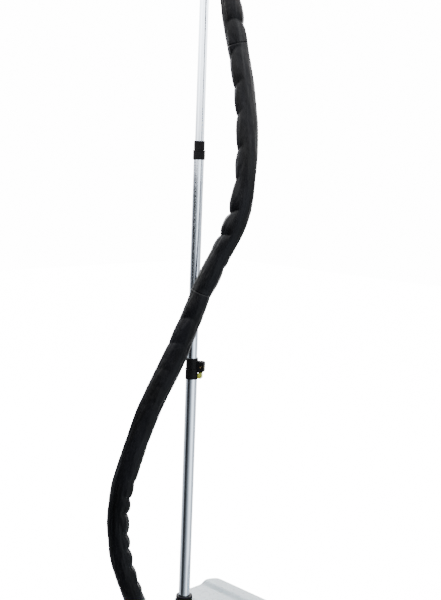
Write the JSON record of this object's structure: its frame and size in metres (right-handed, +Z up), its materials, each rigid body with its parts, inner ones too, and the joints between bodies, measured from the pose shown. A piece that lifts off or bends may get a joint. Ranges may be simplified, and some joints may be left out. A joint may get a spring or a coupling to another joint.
{
  "type": "garment steamer",
  "caption": "Upright garment steamer: wheeled base with lift-out tank, telescopic pole, sleeved steam hose, steam head on a holder and folding hanger.",
  "frame": {"origin": "on the floor, under the middle of the base", "axes": "+Z up along the pole, front of the steamer towards -Y, tank on the +X side"},
  "size_m": [0.41, 0.3, 1.694],
  "materials": {
    "pan_plastic": "fine texture, mid grey",
    "rubber_black": "soft rubber",
    "steel": "plain steel",
    "pale_shell": "moulded, semi-gloss pale blue-grey",
    "grey_plastic": "moulded warm grey",
    "black_plastic": "moulded, satin black",
    "cast_alloy": "die-cast",
    "silicone": "silicone tube",
    "brass": "turned",
    "white_plastic": "moulded off-white",
    "lens": "tinted lens",
    "pole_aluminium": "bright anodised drawn tube",
    "sleeve": "loose woven nylon sleeve",
    "tank_plastic": "translucent pale blue-grey moulding",
    "lime_plastic": "moulded yellow-green"
  },
  "bodies": {
    "root": {"base_pan": "pan_plastic", "base_feet": "rubber_black", "rear_axle": "steel", "housing_shell": "pale_shell", "pole_cover": "pale_shell", "outlet_elbow": "grey_plastic", "hose_nut": "black_plastic", "base_screws": "steel", "mains_gland": "black_plastic", "boiler_block": "cast_alloy", "heating_element": "steel", "boiler_gasket": "silicone", "boiler_lid": "cast_alloy", "thermostat": "brass", "boiler_screws": "steel", "steam_tube": "silicone", "feed_tube": "silicone", "valve_seat": "white_plastic", "dial_bezel": "grey_plastic", "rotary_switch": "black_plastic", "indicator_lens": "lens", "pole_socket": "black_plastic", "pole_plug": "black_plastic", "lower_tube": "pole_aluminium", "lower_clamp": "black_plastic", "lower_pin": "brass", "hose_lower": "sleeve"},
    "left_wheel": {"wheel_left": "rubber_black"},
    "right_wheel": {"wheel_right": "rubber_black"},
    "tank": {"tank_shell": "tank_plastic", "tank_cap": "lime_plastic", "tank_seal": "silicone", "valve_spring": "steel"},
    "plunger": {"valve_plunger": "white_plastic"},
    "knob": {"power_knob": "black_plastic"},
    "foot_ring": {"lock_ring": "black_plastic"},
    "low_lever": {"lower_lever": "lime_plastic"},
    "middle": {"middle_tube": "pole_aluminium", "middle_bush": "black_plastic", "upper_clamp": "black_plastic", "upper_pin": "brass", "hose_middle": "sleeve"},
    "high_lever": {"upper_lever": "lime_plastic"},
    "top": {"top_tube": "pole_aluminium", "top_bush": "black_plastic", "head_holder": "black_plastic", "hanger_hub": "black_plastic", "arm_pins": "steel", "hose_top": "sleeve"},
    "left_arm": {"hanger_arm_left": "black_plastic"},
    "right_arm": {"hanger_arm_right": "black_plastic"},
    "head": {"head_front_shell": "white_plastic", "head_back_shell": "white_plastic", "head_screws": "steel", "steam_plate": "steel", "nozzle_pipe": "black_plastic", "hose_cuff": "black_plastic"},
    "trigger": {"steam_trigger": "lime_plastic"}
  },
  "joints": [
    {"name": "left_wheel_spin", "type": "hinge", "parent": "root", "child": "left_wheel", "pos_m": [-0.118, 0.118, 0.024], "axis": [1, 0, 0], "continuous": true},
    {"name": "right_wheel_spin", "type": "hinge", "parent": "root", "child": "right_wheel", "pos_m": [0.118, 0.118, 0.024], "axis": [1, 0, 0], "continuous": true},
    {"name": "tank_lift", "type": "slide", "parent": "root", "child": "tank", "axis": [0, 0, 1], "range_m": [0, 0.12]},
    {"name": "valve_stroke", "type": "slide", "parent": "tank", "child": "plunger", "axis": [0, 0, 1], "range_m": [0, 0.003], "stiffness_N_per_m": 200, "springref_m": -0.002, "deforming": ["valve_spring"]},
    {"name": "knob_turn", "type": "hinge", "parent": "root", "child": "knob", "pos_m": [-0.07, -0.02, 0.11], "axis": [0, 0, -1], "range_deg": [0, 180]},
    {"name": "foot_ring_turn", "type": "hinge", "parent": "root", "child": "foot_ring", "pos_m": [0, 0.095, 0.19], "axis": [0, 0, 1], "range_deg": [0, 60]},
    {"name": "low_lever_flip", "type": "hinge", "parent": "root", "child": "low_lever", "pos_m": [0.0105, 0.07681, 0.717], "axis": [-0.866, -0.5, 0], "range_deg": [0, 110]},
    {"name": "mid_slide", "type": "slide", "parent": "root", "child": "middle", "axis": [0, 0, 1], "range_m": [-0.32, 0], "deforming": ["hose_lower"]},
    {"name": "high_lever_flip", "type": "hinge", "parent": "middle", "child": "high_lever", "pos_m": [0.01485, 0.10985, 1.1835], "axis": [0.7071, -0.7071, 0], "range_deg": [0, 110]},
    {"name": "top_slide", "type": "slide", "parent": "middle", "child": "top", "axis": [0, 0, 1], "range_m": [-0.32, 0], "deforming": ["hose_middle"]},
    {"name": "right_arm_fold", "type": "hinge", "parent": "top", "child": "right_arm", "pos_m": [0.022, 0.095, 1.627], "axis": [0, 1, 0], "range_deg": [0, 75]},
    {"name": "left_arm_fold", "type": "hinge", "parent": "top", "child": "left_arm", "pos_m": [-0.022, 0.095, 1.627], "axis": [0, -1, 0], "range_deg": [0, 75]},
    {"name": "head_lift", "type": "slide", "parent": "top", "child": "head", "axis": [0, 0, 1], "range_m": [0, 0.05], "deforming": ["hose_top"]},
    {"name": "trigger_press", "type": "slide", "parent": "head", "child": "trigger", "axis": [0, 1, 0], "range_m": [0, 0.003], "stiffness_N_per_m": 400, "springref_m": -0.001}
  ]
}
